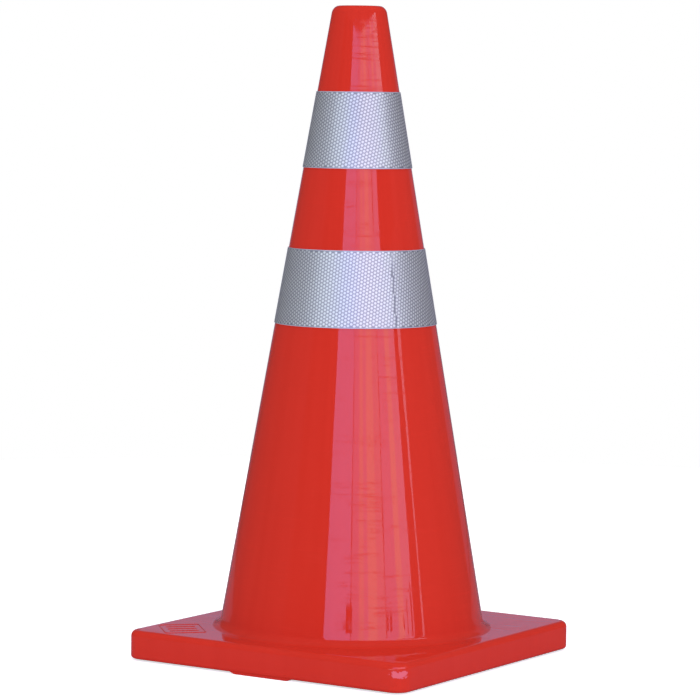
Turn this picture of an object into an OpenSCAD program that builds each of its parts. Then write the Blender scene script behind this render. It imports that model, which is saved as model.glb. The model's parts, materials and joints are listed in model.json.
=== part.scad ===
// Traffic cone. A hollow PVC cone and its square base are one moulding, a slab of
// recycled PVC fills the base as ballast, and two reflective collars are slipped
// over the top and wedge on the taper.
// Millimetres, +Z up. The origin is the middle of the base, on the ground.

/* [Cone] */
// Height from the ground to the top rim
cone_h = 711; // [680:1:740]
// Outer diameter of the cone where its wall would meet the ground
foot_d = 301.8; // [296:0.2:304]
// Outer diameter of the cone where its wall would meet the top rim
tip_d = 57.6; // [57:0.2:62]
// Wall thickness of the cone
wall = 3.5; // [3:0.1:4]
// Diameter of the hole in the top
top_hole_d = 38; // [30:1:40]
// Depth of the thick lip round the top hole
lip_h = 12; // [11:1:16]
// Radius of the rounded shoulder at the top
shoulder_r = 10; // [9:0.5:10.5]
// Height of the flat top rim above the centre of the shoulder's rounding
shoulder_rise = 9.4; // [8.6:0.1:9.6]
// Radius of the sweep from the cone into the base
sweep_r = 12; // [8:0.5:12]

/* [Base] */
// Side of the square base
base_side = 356; // [354:1:366]
// Height of the base's flat top above the ground
base_top = 33; // [30:1:36]
// Corner radius of the base seen from above
corner_r = 17.4; // [15:0.2:20]
// Rounding of the base's top edge
top_edge_r = 6.5; // [5:0.5:8]
// Rounding of the base's bottom edge
bottom_edge_r = 3.5; // [2:0.5:4]
// Thickness of the PVC skin round the sides of the ballast
skin = 4; // [3:0.5:5]
// Thickness of the PVC skin above the ballast
skin_top = 5; // [4:0.5:7]
// Height of the feet under the base
foot_h = 2; // [1.5:0.1:2.5]
// Length of the long foot under the middle of two sides
foot_len = 84; // [60:1:100]
// Diameter of the round foot under each corner of the ballast
pad_d = 24; // [16:1:26]

/* [Collars] */
// Height of the upper collar's lower edge above the ground
upper_z = 536; // [525:1:560]
// Height of the lower collar's lower edge above the ground
lower_z = 366.5; // [350:0.5:380]
// Height of each collar, measured upright
collar_h = 82.3; // [70:0.1:90]
// Gap between the cone and a collar, square to the wall
collar_gap = 0.3; // [0.3:0.05:0.5]
// Thickness of the collar's white backing sheet
backing_t = 0.35; // [0.3:0.05:0.6]
// Thickness of the collar's prismatic face sheet
face_t = 0.35; // [0.3:0.05:0.6]
// Width of the overlap where a collar's two ends are welded
lap_w = 11; // [8:1:20]
// Bearing of the upper collar's overlap, in degrees from +X
upper_lap_at = 130; // [0:1:359]
// Bearing of the lower collar's overlap, in degrees from +X
lower_lap_at = 332.6; // [0:0.2:359]

/* [Hidden] */
$fn = 128;

foot_r = foot_d / 2;
tip_r = tip_d / 2;
top_hole_r = top_hole_d / 2;
// The cone's radius shrinks by this much for each millimetre of height
taper = (foot_r - tip_r) / cone_h;
half_angle = atan(taper);

// Radius of the cone's outer wall at height z
function cone_r(z) = foot_r - taper * z;
// The same, moved out square to the wall by d
function offset_r(z, d) = cone_r(z) + d / cos(half_angle);

// The centre of the shoulder's rounding, which touches the cone's wall
shoulder_z = cone_h - shoulder_rise;
shoulder_x = offset_r(shoulder_z, -shoulder_r);
// The height at which the rounding leaves the wall
shoulder_start = shoulder_z + shoulder_r * sin(half_angle);

// The centre of the sweep, which touches both the wall and the base's top
sweep_z = base_top + sweep_r;
sweep_x = offset_r(sweep_z, sweep_r);
// The point at which the sweep leaves the wall
sweep_end = [sweep_x - sweep_r * cos(half_angle), sweep_z - sweep_r * sin(half_angle)];

// The ballast's upright inner face is clear of the cone's wall
ballast_bore_r = foot_r + 2;
ballast_bottom = foot_h + 1.5;
ballast_top = base_top - skin_top;
// How far the long feet stand in from the base's sides, how deep they are, and the
// length of each sloping end
foot_inset = 1;
foot_depth = 17;
foot_slope = 8;
// How far the round feet's centres stand in from the base's sides
pad_inset = 24;

body_red = [0.80, 0.14, 0.10];
ballast_black = [0.10, 0.10, 0.10];
backing_white = [0.88, 0.88, 0.88];
film_silver = [0.68, 0.68, 0.74];

// The outer outline of the cone, from the axis out, for turning about Z
module cone_outline() {
    polygon([[0, base_top - 20], [cone_r(base_top - 20), base_top - 20],
             [cone_r(shoulder_start), shoulder_start], [0, shoulder_start]]);
    intersection() {
        translate([shoulder_x, shoulder_z]) circle(shoulder_r);
        translate([0, shoulder_z]) square([foot_r, shoulder_rise]);
    }
    translate([0, shoulder_z]) square([shoulder_x, shoulder_rise]);
    difference() {
        polygon([[cone_r(base_top) - wall, base_top - 2], [sweep_x, base_top - 2],
                 [sweep_x, base_top], sweep_end, [sweep_end[0] - wall, sweep_end[1]]]);
        translate([sweep_x, sweep_z]) circle(sweep_r);
    }
}

// The hollow inside the cone, open at both ends, where another cone stacks
module stacking_hollow() {
    rotate_extrude()
        polygon([[0, -5], [offset_r(-5, -wall), -5],
                 [offset_r(cone_h - lip_h, -wall), cone_h - lip_h],
                 [0, cone_h - lip_h]]);
    translate([0, 0, cone_h - lip_h - 5]) cylinder(r = top_hole_r, h = lip_h + 10);
}

// The upright cut through the base's edge: a block with two rounded outer corners
module edge_outline() {
    height = base_top - foot_h;
    square([corner_r - top_edge_r, height]);
    translate([0, bottom_edge_r]) square([corner_r, height - bottom_edge_r - top_edge_r]);
    square([corner_r - bottom_edge_r, height - top_edge_r]);
    translate([corner_r - top_edge_r, height - top_edge_r]) circle(top_edge_r);
    translate([corner_r - bottom_edge_r, bottom_edge_r]) circle(bottom_edge_r);
}

// The square base: four turned corners, four straight sides and the middle
module base_slab() {
    reach = base_side / 2 - corner_r;
    translate([0, 0, foot_h]) {
        for (a = [0 : 90 : 270]) rotate(a) {
            translate([reach, reach, 0]) rotate_extrude(angle = 90) edge_outline();
            translate([reach, reach, 0]) rotate([90, 0, 0])
                linear_extrude(2 * reach) edge_outline();
        }
        translate([-reach, -reach, 0]) cube([2 * reach, 2 * reach, base_top - foot_h]);
    }
}

// A square with round corners, seen from above
module rounded_square(side, r) {
    square([side - 2 * r, side], center = true);
    square([side, side - 2 * r], center = true);
    for (x = [-1, 1], y = [-1, 1])
        translate([x, y] * (side / 2 - r)) circle(r);
}

// The room that the ballast fills, between heights z0 and z1
module ballast_room(z0, z1) {
    translate([0, 0, z0]) difference() {
        linear_extrude(z1 - z0) rounded_square(base_side - 2 * skin, corner_r - skin);
        translate([0, 0, -1]) cylinder(r = ballast_bore_r, h = z1 - z0 + 2);
    }
}

// A long foot with sloping ends under the middle of a side
module long_foot() {
    outer = base_side / 2 - foot_inset;
    half = foot_len / 2;
    translate([0, -outer + foot_depth, 0]) rotate([90, 0, 0]) linear_extrude(foot_depth)
        polygon([[-half + foot_slope, 0], [half - foot_slope, 0],
                 [half, ballast_bottom], [-half, ballast_bottom]]);
}

// A round foot under each corner of the ballast
module round_feet() {
    for (x = [-1, 1], y = [-1, 1])
        translate([x, y, 0] * (base_side / 2 - pad_inset))
            cylinder(d = pad_d, h = ballast_bottom + 1);
}

module cone_body() {
    color(body_red) {
        difference() {
            union() {
                base_slab();
                rotate_extrude() cone_outline();
            }
            stacking_hollow();
            ballast_room(foot_h - 1, ballast_top);
        }
        for (a = [0, 180]) rotate(a) long_foot();
    }
}

module base_ballast() {
    color(ballast_black) {
        ballast_room(ballast_bottom, ballast_top);
        round_feet();
    }
}

// One layer of a collar, standing off the cone from d to d + t, square to the wall.
// It is turned through sweep degrees, starting at bearing start.
module collar_layer(z, d, t, start = 0, sweep = 360) {
    rotate(start) rotate_extrude(angle = sweep)
        polygon([[offset_r(z, d), z], [offset_r(z, d + t), z],
                 [offset_r(z + collar_h, d + t), z + collar_h],
                 [offset_r(z + collar_h, d), z + collar_h]]);
}

module collar_backing(z) {
    color(backing_white) collar_layer(z, collar_gap, backing_t);
}

module collar_face(z) {
    color(film_silver) collar_layer(z, collar_gap + backing_t, face_t);
}

// The collar sheet's free end, which lies on the other end and is welded to it
module collar_lap(z, bearing) {
    angle = lap_w / cone_r(z + collar_h / 2) * 180 / PI;
    color(film_silver)
        collar_layer(z, collar_gap + backing_t + face_t, face_t, bearing - angle, angle);
}

cone_body();
base_ballast();
collar_backing(upper_z);  // upper_collar_backing
collar_face(upper_z);  // upper_collar_face
collar_lap(upper_z, upper_lap_at);  // upper_collar_lap
collar_backing(lower_z);  // lower_collar_backing
collar_face(lower_z);  // lower_collar_face
collar_lap(lower_z, lower_lap_at);  // lower_collar_lap
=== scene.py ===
# %% [markdown]
# # A traffic cone with two reflective collars
# The cone is one soft PVC moulding on a square base. Two collars of prismatic sheet are slipped
# over the top and wedge on the taper, and a slab of recycled PVC under the base weighs it down.
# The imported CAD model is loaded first. It is the ruler for everything that follows: it says
# where each piece is, and nothing here may grow past it.

# %% Load the frame
import json
import math

import bmesh
import bpy
from mathutils import Matrix, Vector

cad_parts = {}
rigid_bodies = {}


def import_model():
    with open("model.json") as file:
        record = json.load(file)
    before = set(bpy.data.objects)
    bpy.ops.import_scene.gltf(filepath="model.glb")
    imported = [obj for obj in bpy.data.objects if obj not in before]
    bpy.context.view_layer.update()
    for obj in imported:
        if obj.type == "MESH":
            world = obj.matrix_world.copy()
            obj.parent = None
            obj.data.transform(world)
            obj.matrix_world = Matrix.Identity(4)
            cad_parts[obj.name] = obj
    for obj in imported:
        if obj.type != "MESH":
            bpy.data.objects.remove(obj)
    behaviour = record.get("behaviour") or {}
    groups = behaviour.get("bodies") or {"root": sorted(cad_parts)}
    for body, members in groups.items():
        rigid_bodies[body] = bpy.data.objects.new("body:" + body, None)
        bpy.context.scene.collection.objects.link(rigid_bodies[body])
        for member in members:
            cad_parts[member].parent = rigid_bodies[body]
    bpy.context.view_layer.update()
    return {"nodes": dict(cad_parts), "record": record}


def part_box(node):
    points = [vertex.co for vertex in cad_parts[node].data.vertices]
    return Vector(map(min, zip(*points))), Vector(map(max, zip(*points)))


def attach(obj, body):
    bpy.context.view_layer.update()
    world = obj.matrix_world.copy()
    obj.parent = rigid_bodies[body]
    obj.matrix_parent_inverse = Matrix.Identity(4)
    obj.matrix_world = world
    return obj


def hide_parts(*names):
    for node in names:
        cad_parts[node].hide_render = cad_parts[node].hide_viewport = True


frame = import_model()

# %% [markdown]
# ## Sizes
# A collar is a slice of the same taper as the cone, so the taper can be worked out from the two
# collars: how much smaller the upper one is, over how much higher it stands. Everything on the
# cone's wall follows from the taper and from one radius. The small sizes that no box can tell,
# such as the rounding of an edge, are named here once, in metres.

# %% Measure the CAD boxes
MM = 0.001
body_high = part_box("cone_body")[1]
ballast_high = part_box("base_ballast")[1]
upper_low, upper_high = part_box("upper_collar_face")
lower_low, lower_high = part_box("lower_collar_face")
backing_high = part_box("lower_collar_backing")[1]

cone_height = body_high.z
half_side = body_high.x
taper = (lower_high.x - upper_high.x) / (upper_low.z - lower_low.z)
half_angle = math.atan(taper)
film = (lower_high.x - backing_high.x) * math.cos(half_angle)
gap = 0.3 * MM
stand_off = gap + 2 * film
foot_radius = lower_high.x - stand_off / math.cos(half_angle) + taper * lower_low.z
apex_height = foot_radius / taper


def wall_radius(height, out=0.0):
    """The cone's outer radius at a height, moved out square to the wall."""
    return foot_radius - taper * height + out / math.cos(half_angle)


print(f"taper {math.degrees(half_angle):.2f} degrees, foot radius {foot_radius / MM:.1f} mm")
print(f"film {film / MM:.2f} mm, apex {apex_height / MM:.0f} mm up")

# %% Name the small sizes
wall = 3.5 * MM
skin = 4 * MM
skin_top = 5 * MM
base_top = ballast_high.z + skin_top
base_bottom = 2 * MM
corner_radius = 17.4 * MM
top_edge = 6.5 * MM
bottom_edge = 3.5 * MM
sweep = 12 * MM
shoulder = 10 * MM
shoulder_rise = 9.4 * MM
lip_height = 12 * MM
hole_radius = 19 * MM
slab_bottom = 3.5 * MM
lap_width = 11 * MM
ramp_width = 6 * MM
sheet_edge = 0.08 * MM
lap_lift = film + 0.01 * MM
print(f"base {2 * half_side / MM:.0f} mm square, its top {base_top / MM:.0f} mm up")

# %% [markdown]
# ## Colours and nodes
# Colour pickers give sRGB hex values, while shaders work in linear light, so one function turns
# one into the other. Every node tree below, for materials and for geometry, is built with one
# small function that adds a node, sets its properties and fills or links its inputs.

# %% Helpers for colours and nodes
def linear(hex_colour):
    """The linear RGBA of an sRGB hex colour such as "#cc3322"."""
    channels = [int(hex_colour[i:i + 2], 16) / 255 for i in (1, 3, 5)]
    light = [c / 12.92 if c <= 0.04045 else ((c + 0.055) / 1.055) ** 2.4 for c in channels]
    return (*light, 1.0)


def add(tree, kind, inputs=None, **settings):
    """Add a node. An input, by name or number, takes a plain value, a socket, or another node,
    which stands for its first output."""
    node = tree.nodes.new(kind)
    for name, value in settings.items():
        setattr(node, name, value)
    for socket, value in (inputs or {}).items():
        if isinstance(value, bpy.types.Node):
            value = value.outputs[0]
        if isinstance(value, bpy.types.NodeSocket):
            tree.links.new(value, node.inputs[socket])
        else:
            node.inputs[socket].default_value = value
    return node


def new_material(name):
    """An empty material and its node tree."""
    material = bpy.data.materials.new(name)
    material.use_nodes = True
    material.node_tree.nodes.clear()
    return material, material.node_tree


print("PVC red in linear light:", [round(c, 3) for c in linear("#d83424")])

# %% [markdown]
# ## The camera
# A long lens stands three and a half metres away, a little below the height of the cone's top,
# and looks slightly down. It is placed by its bearing, distance and height, and turned from a
# pitch and a small roll instead of being aimed at a target, because a target would hide the roll.

# %% Place the camera
camera_bearing = math.radians(33.1)
camera_distance = 3.4812
camera_height = 0.6144
camera_pitch = math.radians(4.544)
camera_roll = math.radians(0.716)

level = Vector((-math.sin(camera_bearing), math.cos(camera_bearing), 0))
across = Vector((math.cos(camera_bearing), math.sin(camera_bearing), 0))
forward = level * math.cos(camera_pitch) - Vector((0, 0, math.sin(camera_pitch)))
upward = level * math.sin(camera_pitch) + Vector((0, 0, math.cos(camera_pitch)))
right = across * math.cos(camera_roll) + upward * math.sin(camera_roll)
top = upward * math.cos(camera_roll) - across * math.sin(camera_roll)

lens = bpy.data.cameras.new("long lens")
lens.lens = 164.2
lens.sensor_width = 36
lens.shift_x = -0.00751
lens.shift_y = -0.00141
lens.clip_end = 60
camera = bpy.data.objects.new("camera", lens)
bpy.context.scene.collection.objects.link(camera)
place = Matrix((right, top, -forward)).transposed().to_4x4()
place.translation = -level * camera_distance + Vector((0, 0, camera_height))
camera.matrix_world = place
bpy.context.scene.camera = camera
bpy.context.scene.view_settings.view_transform = "Standard"
print("camera at", [round(v, 3) for v in camera.location])

# %% [markdown]
# ## The studio
# A glossy cone is mostly a picture of the lights round it. A tall soft light to the right of the
# camera gives the long pale band down the front, so its edges are the band's edges. The lights
# are curved panels of even glow, each given by the angle it covers to the right of the camera,
# its height and its distance. The camera doesn't see them. They are part of the stage: the tints,
# the stands and the fills were chosen for what they look like in the gloss, not for what a studio
# would hold.

# %% A helper for light panels
facing = camera_bearing - math.pi / 2
PANEL_STEP = 4


def light_panel(name, left, right_edge, low, high, distance, glow, colour, mirrored=True):
    """A curved upright light, facing the axis. Angles are in degrees right of the camera."""
    steps = max(2, int((right_edge - left) / PANEL_STEP))
    angles = [facing + math.radians(left + (right_edge - left) * i / steps) for i in range(steps + 1)]
    points = []
    for angle in angles:
        x = distance * math.cos(angle)
        y = distance * math.sin(angle)
        points += [(x, y, low), (x, y, high)]
    faces = [(2 * i, 2 * i + 1, 2 * i + 3, 2 * i + 2) for i in range(steps)]
    mesh = bpy.data.meshes.new(name)
    mesh.from_pydata(points, [], faces)
    material, tree = new_material(name)
    side = add(tree, "ShaderNodeNewGeometry")
    bright = add(tree, "ShaderNodeEmission", {"Color": linear(colour), "Strength": glow})
    dark = add(tree, "ShaderNodeEmission", {"Strength": 0.0})
    shader = add(tree, "ShaderNodeMixShader", {0: side.outputs["Backfacing"], 1: bright, 2: dark})
    add(tree, "ShaderNodeOutputMaterial", {"Surface": shader})
    mesh.materials.append(material)
    panel = bpy.data.objects.new(name, mesh)
    bpy.context.scene.collection.objects.link(panel)
    panel.visible_camera = False
    panel.visible_glossy = mirrored
    panel.visible_shadow = False
    return panel


# %% Hang the lights
# The tall light is a bank of tubes behind one cloth, so its tint changes from left to right. The
# cloth hangs in two lengths, with a gap between them on the outer side.
bank = [(-23.6, -1.4, 2.8, "#aeb8ff"), (-0.8, 6, 2.5, "#cdbcf6"), (6, 10, 2.6, "#f0dce8"),
        (10, 14, 2.5, "#d4c8ff"), (14, 22, 2.7, "#f6e2e8"), (22, 29.4, 2.5, "#e0d0f4"),
        (30, 40.6, 2.5, "#cfc8ff"), (40.6, 46, 2.7, "#f6e8ec"), (46, 55, 2.6, "#d4d2ff")]
cloth_foot, gap_foot, join, cloth_top = 0.28, 0.93, 1.13, 1.42
outer_from = 41
near = 2.0
for left, right_edge, glow, colour in bank:
    lower_top = gap_foot if right_edge > outer_from else join
    light_panel("tall light", left, right_edge, cloth_foot, lower_top, near, glow, colour)
    light_panel("tall light", left, right_edge, join, cloth_top, near, glow, colour)
light_panel("tall light", 55, 72, join, cloth_top, near, 2.8, "#e2e8ff")
light_panel("low front light", -56, -10, 0.0, 0.27, 3.5, 3.0, "#eaf2ff")
# A curtain beside the tall light lets through a sliver that narrows towards the ground.
for left, right_edge, low, high in ((62.9, 64.3, 0.26, 0.52), (62.5, 64.7, 0.52, 0.64),
                                    (61.8, 65.1, 0.64, 0.74), (60.8, 65.6, 0.74, 0.84)):
    light_panel("thin light", left, right_edge, low, high, near, 2.2, "#e8e4ff")
# The feet of stands are dark in front of the tall light's lower edge. A panel hides what is
# behind it only if it casts a shadow.
for left, right_edge, low, high in ((-9.3, -3.6, 0.286, 0.34), (-7.6, -2.8, 0.34, 0.375),
                                    (-5.0, 0.2, 0.375, 0.41), (30.3, 31.6, 0.31, 0.37),
                                    (32.9, 34.6, 0.31, 0.37), (45.0, 45.9, 0.3, 0.34),
                                    (48.6, 49.4, 0.3, 0.36), (52.3, 53.8, 0.3, 0.375)):
    stand = light_panel("stand", left, right_edge, low, high, 1.96, 0.0, "#202020")
    stand.visible_shadow = True
# Real prisms send light back to where it came from, and the sheets' material doesn't. Lights that
# reach only the collars stand in for that here, so under other lights the collars look darker.
sheet_lights = [light_panel("sheet light", left, right_edge, 0.0, 2.9, 6.0, glow, "#e6f4ff")
                for left, right_edge, glow in ((-62, -22, 1.4), (-22, 6, 0.5), (6, 40, 0.35))]
sheet_lights.append(light_panel("sheet light", 41, 72, 0.94, 1.12, near, 3.2, "#eaf6ff"))
light_panel("rear right light", 136, 160, 0.0, 0.9, 2.2, 0.2, "#d8d8ff")
for low, high, glow in ((0.0, 0.3, 0.16), (0.3, 0.62, 0.24), (0.62, 1.5, 0.22)):
    for left, right_edge, share, colour in ((160, 170, 1, "#d8d8ff"), (170, 190, 2, "#cfd2ff"),
                                            (190, 205, 1, "#d8d8ff")):
        light_panel("rear light", left, right_edge, low, high, 2.5, share * glow, colour)
# Fills light the cone without being mirrored in it.
light_panel("front fill", -60, 90, 0.0, 1.6, 5.5, 1.42, "#fff2e8", mirrored=False)
light_panel("left fill", -150, -60, 0.0, 1.6, 5.5, 1.1, "#fff2e8", mirrored=False)

overhead = bpy.data.lights.new("overhead fill", "AREA")
overhead.size = 2.4
overhead.energy = 20
overhead_place = bpy.data.objects.new("overhead fill", overhead)
overhead_place.location = (0, 0, 2.6)
overhead_place.visible_glossy = False
overhead_place.visible_camera = False
bpy.context.scene.collection.objects.link(overhead_place)
print(len(bank), "tubes in the tall light")

# %% [markdown]
# ## The floor and the air round it
# The floor is a wide pale disc. It takes the cone's soft shadow, and for the camera alone it
# glows a little, as a lit sweep in a studio does, so that it runs into the white background
# without a line.

# %% Lay the floor
mesh = bpy.data.meshes.new("floor")
floor_radius = 1.9
FLOOR_SIDES = 96
turns = [math.tau * i / FLOOR_SIDES for i in range(FLOOR_SIDES)]
rim = [(floor_radius * math.cos(turn), floor_radius * math.sin(turn), 0) for turn in turns]
mesh.from_pydata(rim, [], [tuple(range(FLOOR_SIDES))])
floor = bpy.data.objects.new("floor", mesh)
bpy.context.scene.collection.objects.link(floor)

material, tree = new_material("matt white studio floor")
rays = add(tree, "ShaderNodeLightPath")
# Glossy rays see the floor a darker blue-grey, a painted shade in its reflections; other rays see it
# near-white.
paint = add(tree, "ShaderNodeMix",
            {0: rays.outputs["Is Glossy Ray"], 6: linear("#f2f2f2"), 7: linear("#7c7c88")},
            data_type="RGBA")
coat = add(tree, "ShaderNodeBsdfDiffuse", {"Color": paint.outputs[2], "Roughness": 0.6})
lift = add(tree, "ShaderNodeMath", {0: rays.outputs["Is Camera Ray"], 1: 0.62}, operation="MULTIPLY")
shine = add(tree, "ShaderNodeEmission", {"Strength": lift})
both = add(tree, "ShaderNodeAddShader", {0: coat, 1: shine})
add(tree, "ShaderNodeOutputMaterial", {"Surface": both})
mesh.materials.append(material)

# %% Fill the air with dim light
# What the gloss mirrors is dimmer than what lights the colours, and the camera sees white.
world = bpy.data.worlds.new("studio air")
bpy.context.scene.world = world
world.use_nodes = True
tree = world.node_tree
tree.nodes.clear()
rays = add(tree, "ShaderNodeLightPath")
soft = add(tree, "ShaderNodeBackground", {"Color": linear("#fbf8ff"), "Strength": 0.46})
dim = add(tree, "ShaderNodeBackground", {"Color": linear("#f0f0ff"), "Strength": 0.07})
white = add(tree, "ShaderNodeBackground", {"Color": (1, 1, 1, 1), "Strength": 1.0})
lit = add(tree, "ShaderNodeMixShader", {0: rays.outputs["Is Glossy Ray"], 1: soft, 2: dim})
air = add(tree, "ShaderNodeMixShader", {0: rays.outputs["Is Camera Ray"], 1: lit, 2: white})
add(tree, "ShaderNodeOutputWorld", {"Surface": air})
print("floor and air are ready")

# %% [markdown]
# ## Flow-moulded PVC
# Cones are cast from liquid PVC and plasticiser that gels in a hot mould. The skin copies the
# polished mould, so it is glossy, with a faint orange peel and long upright flow waves where the
# liquid ran and set. Soft PVC marks easily: the base's edges get pale scuffs and the wall gets
# dull smears. The base's front corner carries a painted highlight, a pale pink patch where the
# tall light is mirrored on its rounding. The pattern is laid on the angle round the axis and the
# height, not on flat coordinates, so the waves run down the cone and close without a seam.

# %% Material: flow-moulded PVC
def flow_moulded_pvc():
    """Glossy red-orange PVC. Pattern scales are in repeats for each metre."""
    material, tree = new_material("flow-moulded plasticised PVC, red-orange")
    place = add(tree, "ShaderNodeTexCoord").outputs["Object"]
    split = add(tree, "ShaderNodeSeparateXYZ", {0: place})

    # The direction from the axis, with the height squeezed: 12 mm wide waves, 300 mm long.
    flat = add(tree, "ShaderNodeVectorMath", {0: place, 1: (1, 1, 0)}, operation="MULTIPLY")
    outward = add(tree, "ShaderNodeVectorMath", {0: flat}, operation="NORMALIZE")
    spread = add(tree, "ShaderNodeVectorMath", {0: outward, 1: (8, 8, 0)}, operation="MULTIPLY")
    rise = add(tree, "ShaderNodeCombineXYZ", {"Z": split.outputs["Z"]})
    tall = add(tree, "ShaderNodeVectorMath", {0: rise, 1: (0, 0, 3.3)}, operation="MULTIPLY")
    flow_place = add(tree, "ShaderNodeVectorMath", {0: spread, 1: tall}, operation="ADD")
    waves = add(tree, "ShaderNodeTexNoise",
                {"Vector": flow_place, "Scale": 1.0, "Detail": 3.0, "Roughness": 0.55})

    # Orange peel, 4 mm across, sloping drag marks 60 mm long and 4 mm wide, and smears 40 mm
    # across, which break the drag marks up.
    peel = add(tree, "ShaderNodeTexNoise",
               {"Vector": place, "Scale": 250.0, "Detail": 1.0, "Roughness": 0.4})
    smears = add(tree, "ShaderNodeTexNoise",
                 {"Vector": place, "Scale": 26.0, "Detail": 5.0, "Roughness": 0.62,
                  "Distortion": 0.6})
    slanted = add(tree, "ShaderNodeMapping",
                  {"Vector": place, "Rotation": (0.36, -0.55, 0.0), "Scale": (16, 16, 260)})
    drags = add(tree, "ShaderNodeTexNoise",
                {"Vector": slanted, "Scale": 1.0, "Detail": 4.0, "Roughness": 0.6,
                 "Distortion": 1.2})
    drag = add(tree, "ShaderNodeMapRange", {"Value": drags, "From Min": 0.52, "From Max": 0.62})
    smeared = add(tree, "ShaderNodeMapRange", {"Value": smears, "From Min": 0.44, "From Max": 0.56})
    smear = add(tree, "ShaderNodeMath", {0: smeared, 1: drag}, operation="MULTIPLY")

    # The base's edges: how near a point is to the outside of the square, over the last 9 mm.
    reach = add(tree, "ShaderNodeVectorMath", {0: place}, operation="ABSOLUTE")
    sides = add(tree, "ShaderNodeSeparateXYZ", {0: reach})
    widest = add(tree, "ShaderNodeMath", {0: sides, 1: sides.outputs[1]}, operation="MAXIMUM")
    near_edge = add(tree, "ShaderNodeMapRange",
                    {"Value": widest, "From Min": half_side - 9 * MM,
                     "From Max": half_side})
    # Scratches lie along the edge, 60 mm long and 1.5 mm apart, among scuffs 11 mm across.
    marks = []
    for repeats in ((18, 18, 700), (90, 90, 90)):
        mark_place = add(tree, "ShaderNodeMapping", {"Vector": place, "Scale": repeats})
        noise = add(tree, "ShaderNodeTexNoise",
                    {"Vector": mark_place, "Scale": 1.0, "Detail": 6.0, "Roughness": 0.7})
        marks.append(add(tree, "ShaderNodeMapRange", {"Value": noise, "From Min": 0.68, "From Max": 0.8}))
    rubbed = add(tree, "ShaderNodeMath", {0: marks[0], 1: marks[1]}, operation="MAXIMUM")
    worn = add(tree, "ShaderNodeMath", {0: rubbed, 1: near_edge}, operation="MULTIPLY")

    # A painted highlight on the front corner's rounding, where the tall light is mirrored, with a ragged
    # edge: 26 mm wide and 10 mm high.
    corner = half_side - corner_radius * (1 - math.sqrt(0.5))
    to_corner_highlight = add(tree, "ShaderNodeVectorMath", {0: place, 1: (corner, -corner, 21.5 * MM)},
                    operation="SUBTRACT")
    stretched = add(tree, "ShaderNodeVectorMath", {0: to_corner_highlight, 1: (1 / 0.013, 1 / 0.013, 1 / 0.0048)},
                    operation="MULTIPLY")
    away = add(tree, "ShaderNodeVectorMath", {0: stretched}, operation="LENGTH")
    ragged = add(tree, "ShaderNodeTexNoise",
                 {"Vector": place, "Scale": 260.0, "Detail": 3.0, "Roughness": 0.6})
    reach_in = add(tree, "ShaderNodeMath", {0: ragged, 1: 1.5}, operation="MULTIPLY")
    inside_it = add(tree, "ShaderNodeMath", {0: reach_in, 1: away.outputs["Value"]}, operation="SUBTRACT")
    corner_highlight = add(tree, "ShaderNodeMapRange", {"Value": inside_it, "From Min": -0.1, "From Max": 0.1})

    # Colour: a deeper and a lighter red along the flow, paler where it is worn, and a painted highlight
    # on the front corner.
    colour = add(tree, "ShaderNodeMix", {0: waves, 6: linear("#d83424"), 7: linear("#df3a2a")},
                 data_type="RGBA")
    for where, share, paint in ((worn, 0.35, "#d98a80"), (corner_highlight, 0.8, "#f07a88")):
        part = add(tree, "ShaderNodeMath", {0: where, 1: share}, operation="MULTIPLY")
        colour = add(tree, "ShaderNodeMix", {0: part, 6: colour.outputs[2], 7: linear(paint)},
                     data_type="RGBA")

    # Gloss: dull where it is smeared or worn. A smear also mirrors less.
    dull = add(tree, "ShaderNodeMath", {0: smear, 1: 0.1}, operation="MULTIPLY")
    duller = add(tree, "ShaderNodeMath", {0: worn, 1: 0.35}, operation="MULTIPLY")
    base = add(tree, "ShaderNodeMath", {0: dull, 1: 0.035}, operation="ADD")
    roughness = add(tree, "ShaderNodeMath", {0: base, 1: duller}, operation="ADD")
    shine = add(tree, "ShaderNodeMapRange", {"Value": smear, "To Min": 0.5, "To Max": 0.28})

    # Relief: flow waves 0.05 mm deep, streaks up to 0.5 mm deep on the base's flat top only,
    # orange peel a few thousandths, and wear that bites 0.06 mm into the surface.
    streak_place = add(tree, "ShaderNodeMapping",
                       {"Vector": place, "Rotation": (0, 0, 0.6), "Scale": (7, 30, 9)})
    streaks = add(tree, "ShaderNodeTexNoise",
                  {"Vector": streak_place, "Scale": 1.0, "Detail": 2.0, "Roughness": 0.5,
                   "Distortion": 0.8})
    level_share = add(tree, "ShaderNodeMapRange",
                      {"Value": split.outputs["Z"], "From Min": base_top + 3 * MM,
                       "From Max": base_top + 0.5 * MM})
    relief = {}
    for height, strength, depth, inwards in ((waves, 1.0, 0.05, False),
                                             (streaks, level_share, 0.5, False),
                                             (peel, 1.0, 0.002, False), (worn, 1.0, 0.06, True)):
        bump = add(tree, "ShaderNodeBump",
                   {"Height": height, "Strength": strength, "Distance": depth * MM, **relief},
                   invert=inwards)
        relief = {"Normal": bump}

    skin_shader = add(tree, "ShaderNodeBsdfPrincipled",
                      {"Base Color": colour.outputs[2], "Roughness": roughness,
                       "IOR": 1.53, "Specular IOR Level": shine, **relief})
    add(tree, "ShaderNodeOutputMaterial", {"Surface": skin_shader})
    return material


pvc = flow_moulded_pvc()
print("made", pvc.name)

# %% [markdown]
# ## Recycled PVC
# The ballast is ground-up cable and hose scrap, pressed into a slab. It is black and dull, with
# a coarse grain and paler crumbs of what it was made from.

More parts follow.
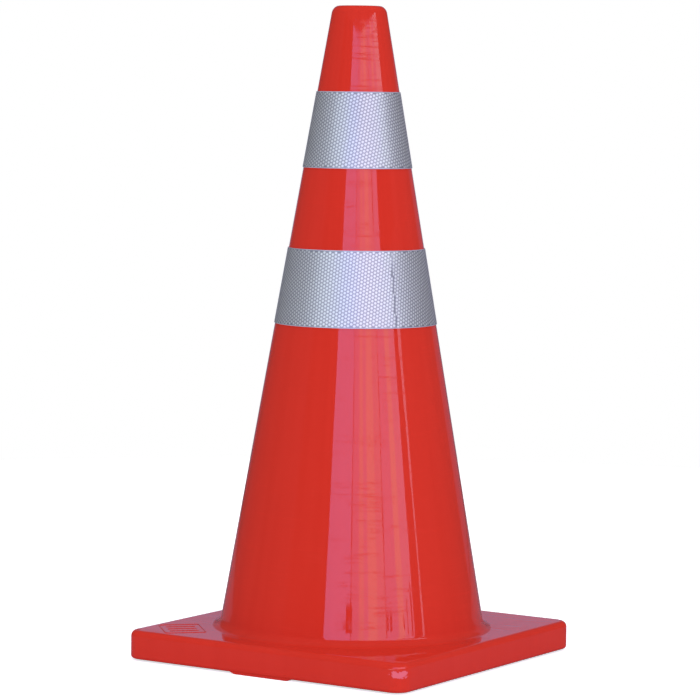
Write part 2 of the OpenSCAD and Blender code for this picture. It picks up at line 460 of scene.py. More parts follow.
# %% Material: pressed recycled PVC
def pressed_recycled_pvc():
    """Dull black PVC with crumbs of other colours, 3 to 5 mm across."""
    material, tree = new_material("pressed recycled PVC, black")
    place = add(tree, "ShaderNodeTexCoord").outputs["Object"]
    crumbs = add(tree, "ShaderNodeTexVoronoi", {"Vector": place, "Scale": 240.0})
    grain = add(tree, "ShaderNodeTexNoise",
                {"Vector": place, "Scale": 500.0, "Detail": 4.0, "Roughness": 0.7})
    lump = add(tree, "ShaderNodeTexNoise",
               {"Vector": place, "Scale": 45.0, "Detail": 3.0, "Roughness": 0.6})
    pick = add(tree, "ShaderNodeSeparateColor", {0: crumbs.outputs["Color"]})
    chosen = add(tree, "ShaderNodeMapRange",
                 {"Value": pick, "From Min": 0.86, "From Max": 1.0, "To Max": 0.6})
    black = add(tree, "ShaderNodeMix", {0: lump, 6: linear("#1c1b1b"), 7: linear("#2f2d2c")},
                data_type="RGBA")
    colour = add(tree, "ShaderNodeMix", {0: chosen, 6: black.outputs[2], 7: linear("#6d6862")},
                 data_type="RGBA")
    roughness = add(tree, "ShaderNodeMapRange", {"Value": grain, "To Min": 0.55, "To Max": 0.85})
    relief = add(tree, "ShaderNodeBump", {"Height": grain, "Strength": 0.8, "Distance": 0.25 * MM})
    pressed = add(tree, "ShaderNodeBump",
                  {"Height": crumbs.outputs["Distance"], "Strength": 0.5,
                   "Distance": 0.4 * MM, "Normal": relief})
    shader = add(tree, "ShaderNodeBsdfPrincipled",
                 {"Base Color": colour.outputs[2], "Roughness": roughness,
                  "IOR": 1.53, "Normal": pressed})
    add(tree, "ShaderNodeOutputMaterial", {"Surface": shader})
    return material


scrap = pressed_recycled_pvc()
print("made", scrap.name)

# %% [markdown]
# ## The collars' sheets
# A collar is two sheets of vinyl. The backing is plain white vinyl with a calendered finish. The
# face is moulded on its hidden side with tiny prisms that send light back, and it is welded to
# the backing along a lattice of lines, which leaves small six-sided cells of trapped air. Each
# cell is bright in its middle and darker along its weld. Part of the light comes back as from a
# rough mirror, so the sheet darkens where it turns away.

# %% Material: calendered vinyl backing
def calendered_vinyl():
    """White vinyl with a fine roller grain, 1 mm across."""
    material, tree = new_material("calendered vinyl sheet, white")
    place = add(tree, "ShaderNodeTexCoord").outputs["Object"]
    grain = add(tree, "ShaderNodeTexNoise",
                {"Vector": place, "Scale": 1000.0, "Detail": 2.0, "Roughness": 0.5})
    stain = add(tree, "ShaderNodeTexNoise",
                {"Vector": place, "Scale": 35.0, "Detail": 4.0, "Roughness": 0.6})
    colour = add(tree, "ShaderNodeMix", {0: stain, 6: linear("#e6e8ee"), 7: linear("#d3d6de")},
                 data_type="RGBA")
    roughness = add(tree, "ShaderNodeMapRange", {"Value": stain, "To Min": 0.35, "To Max": 0.6})
    relief = add(tree, "ShaderNodeBump", {"Height": grain, "Strength": 0.5, "Distance": 0.02 * MM})
    shader = add(tree, "ShaderNodeBsdfPrincipled",
                 {"Base Color": colour.outputs[2], "Roughness": roughness,
                  "IOR": 1.52, "Normal": relief})
    add(tree, "ShaderNodeOutputMaterial", {"Surface": shader})
    return material


backing_vinyl = calendered_vinyl()
print("made", backing_vinyl.name)


# %% Material: prismatic vinyl face
def prismatic_vinyl():
    """Silver-white prismatic sheet. The attribute "cell" is 0 mid-cell and 1 on the weld,
    and "seal" is 1 along the sheet's sealed edges."""
    material, tree = new_material("prismatic vinyl sheet, silver-white")
    place = add(tree, "ShaderNodeTexCoord").outputs["Object"]
    cell = add(tree, "ShaderNodeAttribute", attribute_name="cell").outputs["Fac"]
    seal = add(tree, "ShaderNodeAttribute", attribute_name="seal").outputs["Fac"]

    # Handling haze, 50 mm across, and a few specks of tar, under 2 mm across.
    haze = add(tree, "ShaderNodeTexNoise",
               {"Vector": place, "Scale": 20.0, "Detail": 4.0, "Roughness": 0.6})
    specks = add(tree, "ShaderNodeTexVoronoi", {"Vector": place, "Scale": 40.0})
    pick = add(tree, "ShaderNodeSeparateColor", {0: specks.outputs["Color"]})
    rare = add(tree, "ShaderNodeMath", {0: pick, 1: 0.93}, operation="GREATER_THAN")
    small = add(tree, "ShaderNodeMath", {0: specks.outputs["Distance"], 1: 0.035}, operation="LESS_THAN")
    speck = add(tree, "ShaderNodeMath", {0: rare, 1: small}, operation="MULTIPLY")

    colour = add(tree, "ShaderNodeMix", {0: cell, 6: linear("#f6fbf8"), 7: linear("#a3a8ae")},
                 data_type="RGBA")
    for where, share, paint in ((haze, 0.15, "#b9bccb"), (seal, 1.0, "#c3cedb"),
                                (speck, 0.8, "#3a3836")):
        part = add(tree, "ShaderNodeMath", {0: where, 1: share}, operation="MULTIPLY")
        colour = add(tree, "ShaderNodeMix", {0: part, 6: colour.outputs[2], 7: linear(paint)},
                     data_type="RGBA")
    roughness = add(tree, "ShaderNodeMapRange", {"Value": haze, "To Min": 0.56, "To Max": 0.66})
    mirror = add(tree, "ShaderNodeMapRange", {"Value": seal, "To Min": 0.76, "To Max": 0.3})
    relief = add(tree, "ShaderNodeBump", {"Height": haze, "Strength": 0.4, "Distance": 0.1 * MM})
    shader = add(tree, "ShaderNodeBsdfPrincipled",
                 {"Base Color": colour.outputs[2], "Metallic": mirror,
                  "Roughness": roughness, "IOR": 1.5, "Coat Weight": 1.0,
                  "Coat Roughness": 0.04, "Coat IOR": 1.7, "Normal": relief})
    add(tree, "ShaderNodeOutputMaterial", {"Surface": shader})
    return material


prismatic = prismatic_vinyl()
print("made", prismatic.name)

# %% [markdown]
# ## The cone moulding
# Cone and base are one casting, so they are made as one closed skin. A lathe could spin the cone,
# but not the square base. Instead, every level is a ring of the same number of points: circles on
# the cone, squares with round corners on the base, and mixtures of the two on the flat surface
# between them. Joining each ring to the next gives one smooth skin, outside and inside.

# %% Rings of points
AROUND = 256
SIDE_STEPS = 48
CORNER_STEPS = 16
reach = half_side - corner_radius


def round_ring(radius, height):
    """A level circle. Its points are spaced to meet the square's points."""
    first = -SIDE_STEPS / 2 / AROUND
    angles = [math.tau * (first + i / AROUND) for i in range(AROUND)]
    return [Vector((radius * math.cos(a), radius * math.sin(a), height)) for a in angles]


def square_ring(inset, height):
    """A level square with round corners, drawn in from the base's sides by an inset."""
    radius = max(corner_radius - inset, 0.2 * MM)
    quarter = [(half_side - inset, reach * (2 * i / SIDE_STEPS - 1)) for i in range(SIDE_STEPS)]
    for i in range(CORNER_STEPS):
        a = math.pi / 2 * i / CORNER_STEPS
        quarter.append((reach + radius * math.cos(a), reach + radius * math.sin(a)))
    ring = []
    for turn in range(4):
        spin = Matrix.Rotation(turn * math.pi / 2, 3, "Z")
        ring += [spin @ Vector((x, y, height)) for x, y in quarter]
    return ring


def between(start, end, share):
    """The ring that lies a share of the way from one ring to another."""
    return [a.lerp(b, share) for a, b in zip(start, end)]


print(f"{AROUND} points a ring, {reach / MM:.1f} mm from the middle to where a corner starts")


# %% Joining rings into a skin
def skin_over(rings, closed=True):
    """A bmesh of the quads between rings. Open ones are capped at both ends."""
    shell = bmesh.new()
    rows = [[shell.verts.new(p) for p in ring] for ring in rings]
    pairs = list(zip(rows, rows[1:]))
    if closed:
        pairs.append((rows[-1], rows[0]))
    for one, two in pairs:
        for i in range(len(one)):
            j = (i + 1) % len(one)
            shell.faces.new((one[i], one[j], two[j], two[i]))
    if not closed:
        shell.faces.new(rows[0])
        shell.faces.new(rows[-1])
    bmesh.ops.recalc_face_normals(shell, faces=shell.faces)
    return shell


def finished(name, shell, material, body, slot, *nodes, sharp=40):
    """Turn a bmesh into a piece that rides on a body and stands for CAD nodes."""
    mesh = bpy.data.meshes.new(name)
    shell.to_mesh(mesh)
    shell.free()
    return placed(name, mesh, material, body, slot, *nodes, sharp=sharp)


def placed(name, mesh, material, body, slot, *nodes, sharp=40):
    """Give a mesh its object, material, shading and body. The slot is not used."""
    mesh.shade_smooth()
    mesh.set_sharp_from_angle(angle=math.radians(sharp))
    mesh.materials.clear()
    mesh.materials.append(material)
    piece = bpy.data.objects.new(name, mesh)
    bpy.context.scene.collection.objects.link(piece)
    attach(piece, body)
    if nodes:
        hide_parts(*nodes)
    triangles = sum(len(p.vertices) - 2 for p in mesh.polygons)
    print(f"{name}: {triangles} triangles")
    return piece


# %% [markdown]
# The outside is drawn from the top hole outwards and down: the hole's rounded edge, the flat rim,
# the shoulder, the long wall, the sweep into the base, and then the square base with its rounded
# edges.

# %% The outside of the moulding
def arc(centre_r, centre_z, radius, start, end, steps):
    """Round rings along an arc. Angles are in degrees above the outward direction."""
    rings = []
    for i in range(steps + 1):
        a = math.radians(start + (end - start) * i / steps)
        rings.append(round_ring(centre_r + radius * math.cos(a), centre_z + radius * math.sin(a)))
    return rings


tilt = math.degrees(half_angle)
shoulder_height = cone_height - shoulder_rise
shoulder_middle = wall_radius(shoulder_height, -shoulder)
rim_angle = math.degrees(math.asin(shoulder_rise / shoulder))
hole_edge = 1 * MM

outside = arc(hole_radius + hole_edge, cone_height - hole_edge, hole_edge, 180, 90, 5)
rim_edge = shoulder_middle + shoulder * math.cos(math.radians(rim_angle))
outside.append(round_ring(rim_edge - 0.6 * MM, cone_height))
outside += arc(shoulder_middle, shoulder_height, shoulder, rim_angle - 4, tilt, 12)

wall_top = shoulder_height + shoulder * math.sin(half_angle)
sweep_height = base_top + sweep
sweep_middle = wall_radius(sweep_height, sweep)
wall_foot = sweep_height - sweep * math.sin(half_angle)
WALL_RINGS = 64
for i in range(1, WALL_RINGS):
    height = wall_top + (wall_foot - wall_top) * i / WALL_RINGS
    outside.append(round_ring(wall_radius(height), height))
print(f"wall from {wall_top / MM:.1f} to {wall_foot / MM:.1f} mm, {len(outside)} rings so far")

# %% The foot of the cone
outside += arc(sweep_middle, sweep_height, sweep, 180 + tilt, 270 - 6, 14)
outside.append(round_ring(sweep_middle, base_top + 0.02 * MM))

inner_ground = round_ring(sweep_middle + 1.5 * MM, base_top)
outer_ground = square_ring(top_edge, base_top)
FLAT_RINGS = 9
last_share = 0.97
for i in range(FLAT_RINGS):
    outside.append(between(inner_ground, outer_ground, i / FLAT_RINGS * last_share))
print(f"the base's flat top starts {sweep_middle / MM:.1f} mm out")


# %% The base's rounded edges
def edge_rings(radius, height, start, end, steps):
    """Square rings round a rounded edge. Angles are in degrees above the outward direction."""
    rings = []
    for i in range(steps + 1):
        a = math.radians(start + (end - start) * i / steps)
        rings.append(square_ring(radius - radius * math.cos(a), height + radius * math.sin(a)))
    return rings


outside += edge_rings(top_edge, base_top - top_edge, 90, 0, 8)
outside.append(square_ring(0, base_top - top_edge - 0.8 * MM))
outside.append(square_ring(0, base_bottom + bottom_edge + 0.8 * MM))
outside += edge_rings(bottom_edge, base_bottom + bottom_edge, 0, -90, 5)
print(f"{len(outside)} rings outside")

# %% The underside and the hollow
room_top = ballast_high.z
bore = foot_radius + 2 * MM
inside = [square_ring(skin, base_bottom), square_ring(skin, room_top)]
for i in range(1, 6):
    inside.append(between(square_ring(skin, room_top), round_ring(bore, room_top), i / 6))
inside += [round_ring(bore, room_top), round_ring(bore, base_bottom)]
hollow_top = cone_height - lip_height
HOLLOW_RINGS = 24
for i in range(HOLLOW_RINGS + 1):
    height = base_bottom + (hollow_top - base_bottom) * i / HOLLOW_RINGS
    inside.append(round_ring(wall_radius(height, -wall), height))
inside.append(round_ring(hole_radius, hollow_top))

moulding = skin_over(outside + inside)
finished("cone_moulding", moulding, pvc, "cone", "moulded_pvc", "cone_body", sharp=50)

# %% [markdown]
# ## The long feet
# Under the middle of two sides, the casting has a long low foot with sloping ends, which keeps
# the rim off the ground. Each is a short block, bevelled all round, as cast corners never come
# out sharp.

# %% The long feet
foot_half = 42 * MM
foot_slope = 8 * MM
foot_outer = half_side - 1 * MM
foot_inner = foot_outer - 17 * MM
foot_bevel = 0.7 * MM
shell = bmesh.new()
for turn in (0, math.pi):
    spin = Matrix.Rotation(turn, 3, "Z")
    corners = []
    for y in (-foot_outer, -foot_inner):
        for x, z in ((-foot_half + foot_slope, 0), (foot_half - foot_slope, 0),
                     (foot_half, slab_bottom), (-foot_half, slab_bottom)):
            corners.append(shell.verts.new(spin @ Vector((x, y, z))))
    front = corners[:4]
    back = corners[4:]
    shell.faces.new(front)
    shell.faces.new(back)
    for i in range(4):
        j = (i + 1) % 4
        shell.faces.new((front[i], front[j], back[j], back[i]))
bmesh.ops.recalc_face_normals(shell, faces=shell.faces)
bmesh.ops.bevel(shell, geom=list(shell.edges), offset=foot_bevel, segments=3, affect="EDGES")
bmesh.ops.recalc_face_normals(shell, faces=shell.faces)
finished("long_feet", shell, pvc, "cone", "moulded_pvc", sharp=30)

# %% [markdown]
# ## The ballast
# The slab fills the square room under the skin. It has a round hole for the cone's foot and a
# low round foot under each corner, with a shallow dimple where the mould's plug stood.

# %% The ballast slab
outer_top = square_ring(skin, room_top)
outer_bottom = square_ring(skin + 0.6 * MM, slab_bottom)
bore_top = round_ring(bore, room_top)
bore_bottom = round_ring(bore + 0.5 * MM, slab_bottom)
rings = [outer_top, square_ring(skin, slab_bottom + 0.8 * MM), outer_bottom]
rings += [between(outer_bottom, bore_bottom, i / 6) for i in range(1, 6)]
rings += [bore_bottom, round_ring(bore, slab_bottom + 0.8 * MM), bore_top]
rings += [between(bore_top, outer_top, i / 6) for i in range(1, 6)]
shell = skin_over(rings)

pad_reach = half_side - 24 * MM
PAD_SIDES = 48
# Radius and height of each ring, in millimetres.
pad_profile = [(12.0, 4.5), (12.0, 0.8), (11.7, 0.25), (11.0, 0.0), (5.2, 0.0), (4.6, 0.5), (0.8, 0.7)]
for x in (-pad_reach, pad_reach):
    for y in (-pad_reach, pad_reach):
        rings = []
        for radius, height in pad_profile:
            turns = [math.tau * i / PAD_SIDES for i in range(PAD_SIDES)]
            rings.append([Vector((x + radius * MM * math.cos(turn), y + radius * MM * math.sin(turn),
                                  height * MM)) for turn in turns])
        pad = skin_over(rings, closed=False)
        pad_mesh = bpy.data.meshes.new("pad")
        pad.to_mesh(pad_mesh)
        pad.free()
        shell.from_mesh(pad_mesh)
        bpy.data.meshes.remove(pad_mesh)
finished("ballast_slab", shell, scrap, "cone", "recycled_pvc", "base_ballast", sharp=40)

# %% [markdown]
# ## The ribbed plate in one corner
# The mould has a small plate in one corner of the base. It is a framed rectangle, turned to face
# the corner, with plain ribs that run towards the cone. Ribs repeat, so Geometry Nodes draws
# them: lines set side by side and one frame round them, each swept with a round section that
# sinks halfway into the base.

# %% A Geometry Nodes tree for framed ribs
def rib_tree():
    """Draw a frame and ribs, lying on the XY plane and centred on the origin."""
    tree = bpy.data.node_groups.new("framed ribs", "GeometryNodeTree")
    face = tree.interface
    face.new_socket("Geometry", in_out="OUTPUT", socket_type="NodeSocketGeometry")
    for name in ("Length", "Width", "Bead"):
        face.new_socket(name, in_out="INPUT", socket_type="NodeSocketFloat")
    face.new_socket("Ribs", in_out="INPUT", socket_type="NodeSocketInt")
    face.new_socket("Material", in_out="INPUT", socket_type="NodeSocketMaterial")
    given = add(tree, "NodeGroupInput").outputs

    border = add(tree, "GeometryNodeCurvePrimitiveQuadrilateral",
                 {"Width": given["Length"], "Height": given["Width"]})
    corners = add(tree, "GeometryNodeFilletCurve",
                  {"Curve": border, "Radius": 3 * MM, "Count": 4}, mode="POLY")

    gaps = add(tree, "ShaderNodeMath", {0: given["Ribs"], 1: 1.0}, operation="ADD")
    pitch = add(tree, "ShaderNodeMath", {0: given["Width"], 1: gaps}, operation="DIVIDE")
    half_width = add(tree, "ShaderNodeMath", {0: given["Width"], 1: -0.5}, operation="MULTIPLY")
    first = add(tree, "ShaderNodeMath", {0: half_width, 1: pitch}, operation="ADD")
    start = add(tree, "ShaderNodeCombineXYZ", {"Y": first})
    step = add(tree, "ShaderNodeCombineXYZ", {"Y": pitch})
    row = add(tree, "GeometryNodeMeshLine",
              {"Count": given["Ribs"], "Start Location": start,
               "Offset": step}, mode="OFFSET")
    ends = {}
    for end, share in (("Start", -0.36), ("End", 0.36)):
        along = add(tree, "ShaderNodeMath", {0: given["Length"], 1: share}, operation="MULTIPLY")
        ends[end] = add(tree, "ShaderNodeCombineXYZ", {"X": along})
    rib = add(tree, "GeometryNodeCurvePrimitiveLine", ends)
    ribs = add(tree, "GeometryNodeInstanceOnPoints", {"Points": row, "Instance": rib})
    loose = add(tree, "GeometryNodeRealizeInstances", {"Geometry": ribs})

    lines = add(tree, "GeometryNodeJoinGeometry")
    tree.links.new(corners.outputs[0], lines.inputs[0])
    tree.links.new(loose.outputs[0], lines.inputs[0])
    section = add(tree, "GeometryNodeCurvePrimitiveCircle", {"Resolution": 12, "Radius": given["Bead"]})
    beads = add(tree, "GeometryNodeCurveToMesh",
                {"Curve": lines, "Profile Curve": section,
                 "Fill Caps": True})
    solid = add(tree, "GeometryNodeRealizeInstances", {"Geometry": beads})
    painted = add(tree, "GeometryNodeSetMaterial", {"Geometry": solid, "Material": given["Material"]})
    add(tree, "NodeGroupOutput", {0: painted})
    return tree


def grown(name, tree, values):
    """Run a tree with named input values and return the result as a plain mesh."""
    host = bpy.data.objects.new(name, bpy.data.meshes.new(name))
    bpy.context.scene.collection.objects.link(host)
    modifier = host.modifiers.new("grow", "NODES")
    modifier.node_group = tree
    for item in tree.interface.items_tree:
        if item.in_out == "INPUT" and item.name in values:
            modifier[item.identifier] = values[item.name]
    bpy.context.view_layer.update()
    graph = bpy.context.evaluated_depsgraph_get()
    mesh = bpy.data.meshes.new_from_object(host.evaluated_get(graph))
    host.modifiers.remove(modifier)
    bpy.data.objects.remove(host)
    print(f"{name}: {len(mesh.vertices)} points grown")
    return mesh


ribs = grown("corner_rib_plate", rib_tree(),
             {"Length": 44 * MM, "Width": 53 * MM, "Bead": 0.9 * MM, "Ribs": 3,
              "Material": pvc})
plate_out = 188.5 * MM
plate_x = -plate_out * math.sqrt(0.5)
flatness = 0.6
ribs.transform(Matrix.Translation((plate_x, plate_x, base_top))
               @ Matrix.Rotation(math.radians(45), 4, "Z")
               @ Matrix.Diagonal((1, 1, flatness, 1)))
placed("corner_rib_plate", ribs, pvc, "cone", "moulded_pvc", sharp=60)

# %% [markdown]
# ## Rolling a flat sheet round the cone
# Each collar is cut flat, as part of a wide ring, and rolled into a sleeve. A point on the flat
# sheet is known by its distance from the middle of that ring, which is the cone's own tip, and by
# its angle there. Rolling keeps the distance and spreads the angle to a whole turn. The same rule
# is used twice: in Python for the sheets, and as nodes for the pattern on them.

# %% Where a collar's sheet lies
sine = math.sin(half_angle)
cosine = math.cos(half_angle)


def rolled(distance, bearing, out):
    """The place of a sheet's point, by distance from the tip, bearing and stand-off."""
    radius = distance * sine + out * cosine
    height = apex_height - distance * cosine + out * sine
    return Vector((radius * math.cos(bearing), radius * math.sin(bearing), height))


class Collar:
    """The sizes of one collar, from its CAD boxes and the bearing of its free end."""

    def __init__(self, name, free_end, straight_at):
        low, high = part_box(name + "_face")
        self.name = name
        self.low = (apex_height - low.z + stand_off * sine) / cosine
        self.high = (apex_height - high.z + stand_off * sine) / cosine
        self.width = self.low - self.high
        self.free_end = math.radians(free_end)
        self.lap = lap_width / wall_radius((low.z + high.z) / 2)
        self.ramp = ramp_width / wall_radius(apex_height - self.low * cosine)
        self.middle = self.free_end - math.pi
        turn = math.radians(straight_at) - self.middle
        self.turn = math.remainder(turn, math.tau) * sine
        print(f"{name}: cut {self.low / MM:.0f} to {self.high / MM:.0f} mm from the tip")


upper = Collar("upper_collar", 130, -112)
lower = Collar("lower_collar", 332.6, -84)


# %% The backing sleeves
def backing_sleeve(collar):
    """A thin closed sleeve with rounded edges."""
    width = collar.width
    soft = sheet_edge
    rings = []
    for along, out in ((0.0, gap + soft), (soft, gap), (width - soft, gap), (width, gap + soft),
                       (width, gap + film - soft), (width - soft, gap + film),
                       (soft, gap + film), (0.0, gap + film - soft)):
        ring = [rolled(collar.low - along, math.tau * i / AROUND, out) for i in range(AROUND)]
        rings.append(ring)
    shell = skin_over(rings)
    finished(collar.name + "_backing_sheet", shell, backing_vinyl, collar.name,
             "backing_sheet", collar.name + "_backing", sharp=70)


backing_sleeve(upper)
backing_sleeve(lower)

# %% [markdown]
# The face sheet goes once round and then laps over its own start, where it rides up by its own
# thickness over a short ramp. Along its top and bottom edges it is heat-sealed to the backing,
# which leaves a narrow smooth band and a fine groove inside it.


# %% The face sheets
def lift_at(collar, bearing):
    """How far the sheet has ridden up on its own start, from 0 to its thickness."""
    share = (bearing - (collar.free_end - collar.lap - collar.ramp)) / collar.ramp
    share = min(max(share, 0), 1)
    return lap_lift * share * share * (3 - 2 * share)


def face_sheet(collar):
    """The face sheet, with its sealed edges marked by the attribute "seal"."""
    full = collar.width
    inner = gap + film
    outer = gap + 2 * film
    soft = sheet_edge
    seal = 0.5 * MM
    groove = 0.06 * MM
    recess = 0.04 * MM
    half_profile = [(0.0, outer - soft, 1), (soft, outer, 1), (seal, outer, 1),
                    (seal + 0.15 * MM, outer - groove, 0.4), (seal + 0.35 * MM, outer - groove, 0.4),
                    (seal + 0.5 * MM, outer - recess, 0)]
    profile = [(0.0, inner + 0.01 * MM, 1)] + half_profile
    profile += [(full * i / 6, outer - recess, 0) for i in range(1, 6)]
    profile += [(full - along, out, mark) for along, out, mark in reversed(half_profile)]
    profile += [(full, inner + 0.01 * MM, 1)]
    steps = 272
    start = collar.free_end - math.tau - collar.lap
    rings = []
    for i in range(steps + 1):
        bearing = start + (collar.free_end - start) * i / steps
        lift = lift_at(collar, bearing)
        rings.append([rolled(collar.low - along, bearing, out + lift) for along, out, mark in profile])
    shell = skin_over(rings, closed=False)
    mesh = bpy.data.meshes.new(collar.name + "_face_sheet")
    shell.to_mesh(mesh)
    shell.free()
    sealed = mesh.attributes.new("seal", "FLOAT", "POINT")
    welded = mesh.attributes.new("cell", "FLOAT", "POINT")
    for i in range(len(mesh.vertices)):
        sealed.data[i].value = profile[i % len(profile)][2]
        welded.data[i].value = 1.0
    placed(mesh.name, mesh, prismatic, collar.name, "prismatic_sheet",
           collar.name + "_face", collar.name + "_lap", sharp=45)


face_sheet(upper)
face_sheet(lower)

# %% [markdown]
# ## The cells
# The lattice repeats thousands of times, so Geometry Nodes grows it. A grid of points is laid on
# the flat sheet, every other column is shifted by half a step to make a honeycomb, and the grid
# is turned to the angle at which this sheet was cut. Points off the sheet are dropped. Each
# point gets one low six-sided pillow of twenty triangles, and then everything is rolled round
# the cone. A real cell is 3.85 mm from middle to middle, which is drawn at its true size.


# %% A Geometry Nodes tree for the cells
def cell_tree():
    """Grow rolled cells. Lengths are in metres and angles in radians on the flat sheet."""
    tree = bpy.data.node_groups.new("prismatic cells", "GeometryNodeTree")
    face = tree.interface
    face.new_socket("Geometry", in_out="OUTPUT", socket_type="NodeSocketGeometry")
    for name in ("Pitch", "Column Step", "Grid Width", "Grid Height", "Cell Height", "Cell Size",
                 "Cap Size", "Near Edge", "Far Edge", "Start Angle", "End Angle", "Turn",
                 "Middle", "Stand Off", "Ramp Start", "Ramp End", "Lift", "Tip Height", "Sine",
                 "Cosine"):
        face.new_socket(name, in_out="INPUT", socket_type="NodeSocketFloat")
    for name in ("Points Across", "Points Up"):
        face.new_socket(name, in_out="INPUT", socket_type="NodeSocketInt")
    face.new_socket("Material", in_out="INPUT", socket_type="NodeSocketMaterial")
    given = add(tree, "NodeGroupInput").outputs
    place = add(tree, "GeometryNodeInputPosition")
    split = add(tree, "ShaderNodeSeparateXYZ", {0: place})

    # The honeycomb: a grid with every other column moved up by half a pitch.
    grid = add(tree, "GeometryNodeMeshGrid",
               {"Size X": given["Grid Width"], "Size Y": given["Grid Height"],
                "Vertices X": given["Points Across"], "Vertices Y": given["Points Up"]})
    steps = add(tree, "ShaderNodeMath", {0: split.outputs["X"], 1: given["Column Step"]},
                operation="DIVIDE")
    number = add(tree, "ShaderNodeMath", {0: steps}, operation="ROUND")
    odd = add(tree, "ShaderNodeMath", {0: number, 1: 2.0}, operation="FLOORED_MODULO")
    half_pitch = add(tree, "ShaderNodeMath", {0: given["Pitch"], 1: 0.5}, operation="MULTIPLY")
    shift = add(tree, "ShaderNodeMath", {0: odd, 1: half_pitch}, operation="MULTIPLY")
    upwards = add(tree, "ShaderNodeCombineXYZ", {"Y": shift})
    stagger = add(tree, "GeometryNodeSetPosition", {"Geometry": grid, "Offset": upwards})
    spin = add(tree, "ShaderNodeCombineXYZ", {"Z": given["Turn"]})
    turned = add(tree, "GeometryNodeTransform", {"Geometry": stagger, "Rotation": spin})

    # Distance from the tip and angle from the middle of the sheet, at any point.
    flat = add(tree, "ShaderNodeVectorMath", {0: place, 1: (1, 1, 0)}, operation="MULTIPLY")
    length = add(tree, "ShaderNodeVectorMath", {0: flat}, operation="LENGTH")
    far_out = length.outputs["Value"]
    downwards = add(tree, "ShaderNodeMath", {0: split.outputs["Y"], 1: -1.0}, operation="MULTIPLY")
    angle = add(tree, "ShaderNodeMath", {0: split.outputs["X"], 1: downwards}, operation="ARCTAN2")

    # Keep only the points on the sheet.
    off_sheet = 0.0
    for value, limit, operation in ((far_out, "Near Edge", "LESS_THAN"),
                                    (far_out, "Far Edge", "GREATER_THAN"),
                                    (angle, "Start Angle", "LESS_THAN"),
                                    (angle, "End Angle", "GREATER_THAN")):
        past = add(tree, "ShaderNodeMath", {0: value, 1: given[limit]}, operation=operation)
        off_sheet = add(tree, "ShaderNodeMath", {0: off_sheet, 1: past}, operation="MAXIMUM")
    kept = add(tree, "GeometryNodeDeleteGeometry", {"Geometry": turned, "Selection": off_sheet},
               domain="POINT")

    # One cell: a low six-sided pillow, marked 0 on its cap and 1 at its foot.
    cell = add(tree, "GeometryNodeMeshCone",
               {"Vertices": 6, "Side Segments": 1, "Fill Segments": 1,
                "Radius Top": given["Cap Size"], "Radius Bottom": given["Cell Size"],
                "Depth": given["Cell Height"]}, fill_type="NGON")
    mark = add(tree, "ShaderNodeMapRange",
               {"Value": split.outputs["Z"], "From Max": given["Cell Height"], "To Min": 1.0,
                "To Max": 0.0})
    marked = add(tree, "GeometryNodeStoreNamedAttribute",
                 {"Geometry": cell, "Name": "cell", "Value": mark}, data_type="FLOAT", domain="POINT")
    cells = add(tree, "GeometryNodeInstanceOnPoints",
                {"Points": kept, "Instance": marked, "Rotation": spin})
    solid = add(tree, "GeometryNodeRealizeInstances", {"Geometry": cells})

    # Trim what hangs over an edge: it is pushed back to the edge.
    distance = add(tree, "ShaderNodeClamp",
                   {"Value": far_out, "Min": given["Near Edge"], "Max": given["Far Edge"]})
    trimmed = add(tree, "ShaderNodeClamp",
                  {"Value": angle, "Min": given["Start Angle"], "Max": given["End Angle"]})

    # The level above the cone: the pillow's own height, and the climb over the sheet's start.
    climb = add(tree, "ShaderNodeMapRange",
                {"Value": trimmed, "From Min": given["Ramp Start"], "From Max": given["Ramp End"],
                 "To Max": given["Lift"]}, interpolation_type="SMOOTHSTEP")
    above = add(tree, "ShaderNodeMath", {0: given["Stand Off"], 1: split.outputs["Z"]}, operation="ADD")
    level = add(tree, "ShaderNodeMath", {0: above, 1: climb}, operation="ADD")

    # Roll the sheet round the cone.
    run = add(tree, "ShaderNodeMath", {0: distance, 1: given["Sine"]}, operation="MULTIPLY")
    radius = add(tree, "ShaderNodeMath", {0: level, 1: given["Cosine"], 2: run}, operation="MULTIPLY_ADD")
    drop = add(tree, "ShaderNodeMath", {0: distance, 1: given["Cosine"]}, operation="MULTIPLY")
    rise = add(tree, "ShaderNodeMath", {0: level, 1: given["Sine"], 2: given["Tip Height"]},
               operation="MULTIPLY_ADD")
    height = add(tree, "ShaderNodeMath", {0: rise, 1: drop}, operation="SUBTRACT")
    spread = add(tree, "ShaderNodeMath", {0: trimmed, 1: given["Sine"]}, operation="DIVIDE")
    bearing = add(tree, "ShaderNodeMath", {0: spread, 1: given["Middle"]}, operation="ADD")
    level_place = {"Z": height}
    for axis, operation in (("X", "COSINE"), ("Y", "SINE")):
        share = add(tree, "ShaderNodeMath", {0: bearing}, operation=operation)
        level_place[axis] = add(tree, "ShaderNodeMath", {0: radius, 1: share}, operation="MULTIPLY")
    rolled_place = add(tree, "ShaderNodeCombineXYZ", level_place)
    roll = add(tree, "GeometryNodeSetPosition", {"Geometry": solid, "Position": rolled_place})
    painted = add(tree, "GeometryNodeSetMaterial", {"Geometry": roll, "Material": given["Material"]})
    add(tree, "NodeGroupOutput", {0: painted})
    return tree


cells = cell_tree()
print("tree with", len(cells.nodes), "nodes")


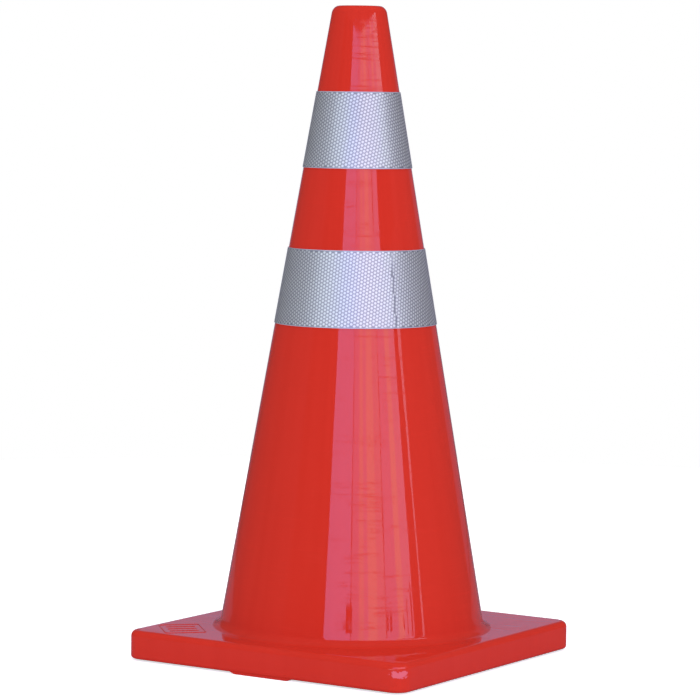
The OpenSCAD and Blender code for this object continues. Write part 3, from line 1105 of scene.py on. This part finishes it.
# %% The cells on each collar
def grow_cells(collar):
    """Grow one collar's cells between its sealed edges."""
    border = 1.0 * MM
    pitch = 3.85 * MM
    weld = 0.04
    sink = 0.05 * MM
    step = pitch * math.sqrt(3) / 2
    columns = math.ceil(collar.low / step)
    rows = math.ceil(collar.low / pitch)
    margin = 0.4 * MM / collar.low
    end_angle = math.pi * sine - margin
    lap_angle = end_angle - (collar.lap * sine - margin)
    mesh = grown(collar.name + "_cells", cells,
                 {"Pitch": pitch, "Column Step": step,
                  "Grid Width": 2 * columns * step, "Points Across": 2 * columns + 1,
                  "Grid Height": 2 * rows * pitch, "Points Up": 2 * rows + 1,
                  "Cell Height": 0.11 * MM, "Cell Size": pitch / math.sqrt(3) * (1 - weld),
                  "Cap Size": 1.1 * MM,
                  "Near Edge": collar.high + border, "Far Edge": collar.low - border,
                  "Start Angle": -end_angle, "End Angle": end_angle,
                  "Turn": collar.turn, "Middle": collar.middle,
                  "Stand Off": stand_off - sink,
                  "Ramp Start": lap_angle - collar.ramp * sine, "Ramp End": lap_angle,
                  "Lift": lap_lift, "Tip Height": apex_height,
                  "Sine": sine, "Cosine": cosine, "Material": prismatic})
    placed(mesh.name, mesh, prismatic, collar.name, "prismatic_sheet", sharp=2)


grow_cells(upper)
grow_cells(lower)

# %% Link the sheets' own lights
collars = bpy.data.collections.new("collar sheets")
for piece in bpy.data.objects:
    if "_sheet" in piece.name or "_cells" in piece.name:
        collars.objects.link(piece)
for panel in sheet_lights:
    panel.light_linking.receiver_collection = collars

# %% [markdown]
# ## Finish
# The hidden CAD nodes get the same finishes as the pieces that stand for them, so nothing in the
# file is left plain.

# %% Paint the CAD nodes
finishes = {"moulded_pvc": pvc, "recycled_pvc": scrap, "backing_sheet": backing_vinyl,
            "prismatic_sheet": prismatic}
for part in frame["record"]["subparts"]:
    node = frame["nodes"][part["node"]]
    for place_in_list in range(len(node.material_slots)):
        node.material_slots[place_in_list].material = finishes[part["material_slot"]]
